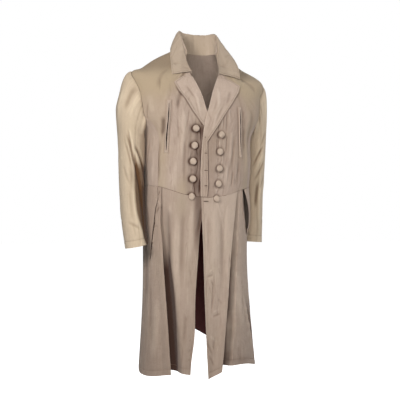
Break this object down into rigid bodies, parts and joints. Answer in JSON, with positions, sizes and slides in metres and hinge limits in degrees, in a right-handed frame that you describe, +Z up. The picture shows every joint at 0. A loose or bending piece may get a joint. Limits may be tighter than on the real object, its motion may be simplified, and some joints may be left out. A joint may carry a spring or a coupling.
{
  "type": "duster coat",
  "caption": "Long double-breasted skirted coat with notched lapels, turned-down collar, covered buttons, hip slits and a dark red back skirt lining, in its hollow worn form.",
  "frame": {"origin": "the middle of the neck opening, level with the foot of the back collar, where the wearer's neck and shoulders hold the coat up", "axes": "+Z up along the wearer's body, -Y towards the coat's front, +X towards the wearer's left"},
  "size_m": [0.5828, 0.342, 1.2763],
  "materials": {
    "coat_cotton": "matt taupe cotton twill",
    "sleeve_cotton": "matt khaki cotton twill",
    "button_cotton": "matt taupe cotton",
    "lining": "dark red sateen"
  },
  "bodies": {
    "root": {"front_bodice_right": "coat_cotton", "side_body_right": "coat_cotton", "front_skirt_right": "coat_cotton", "side_skirt_right": "coat_cotton", "lapel_right": "coat_cotton", "breast_welt_right": "coat_cotton", "upper_sleeve_right": "sleeve_cotton", "under_sleeve_right": "sleeve_cotton", "button_right_1": "button_cotton", "button_right_2": "button_cotton", "button_right_3": "button_cotton", "button_right_4": "button_cotton", "button_right_5": "button_cotton", "front_bodice_left": "coat_cotton", "side_body_left": "coat_cotton", "front_skirt_left": "coat_cotton", "side_skirt_left": "coat_cotton", "lapel_left": "coat_cotton", "breast_welt_left": "coat_cotton", "upper_sleeve_left": "sleeve_cotton", "under_sleeve_left": "sleeve_cotton", "button_left_1": "button_cotton", "button_left_2": "button_cotton", "button_left_3": "button_cotton", "button_left_4": "button_cotton", "button_left_5": "button_cotton", "back_bodice": "coat_cotton", "back_skirt": "coat_cotton", "collar": "coat_cotton", "back_skirt_lining": "lining"}
  },
  "joints": []
}
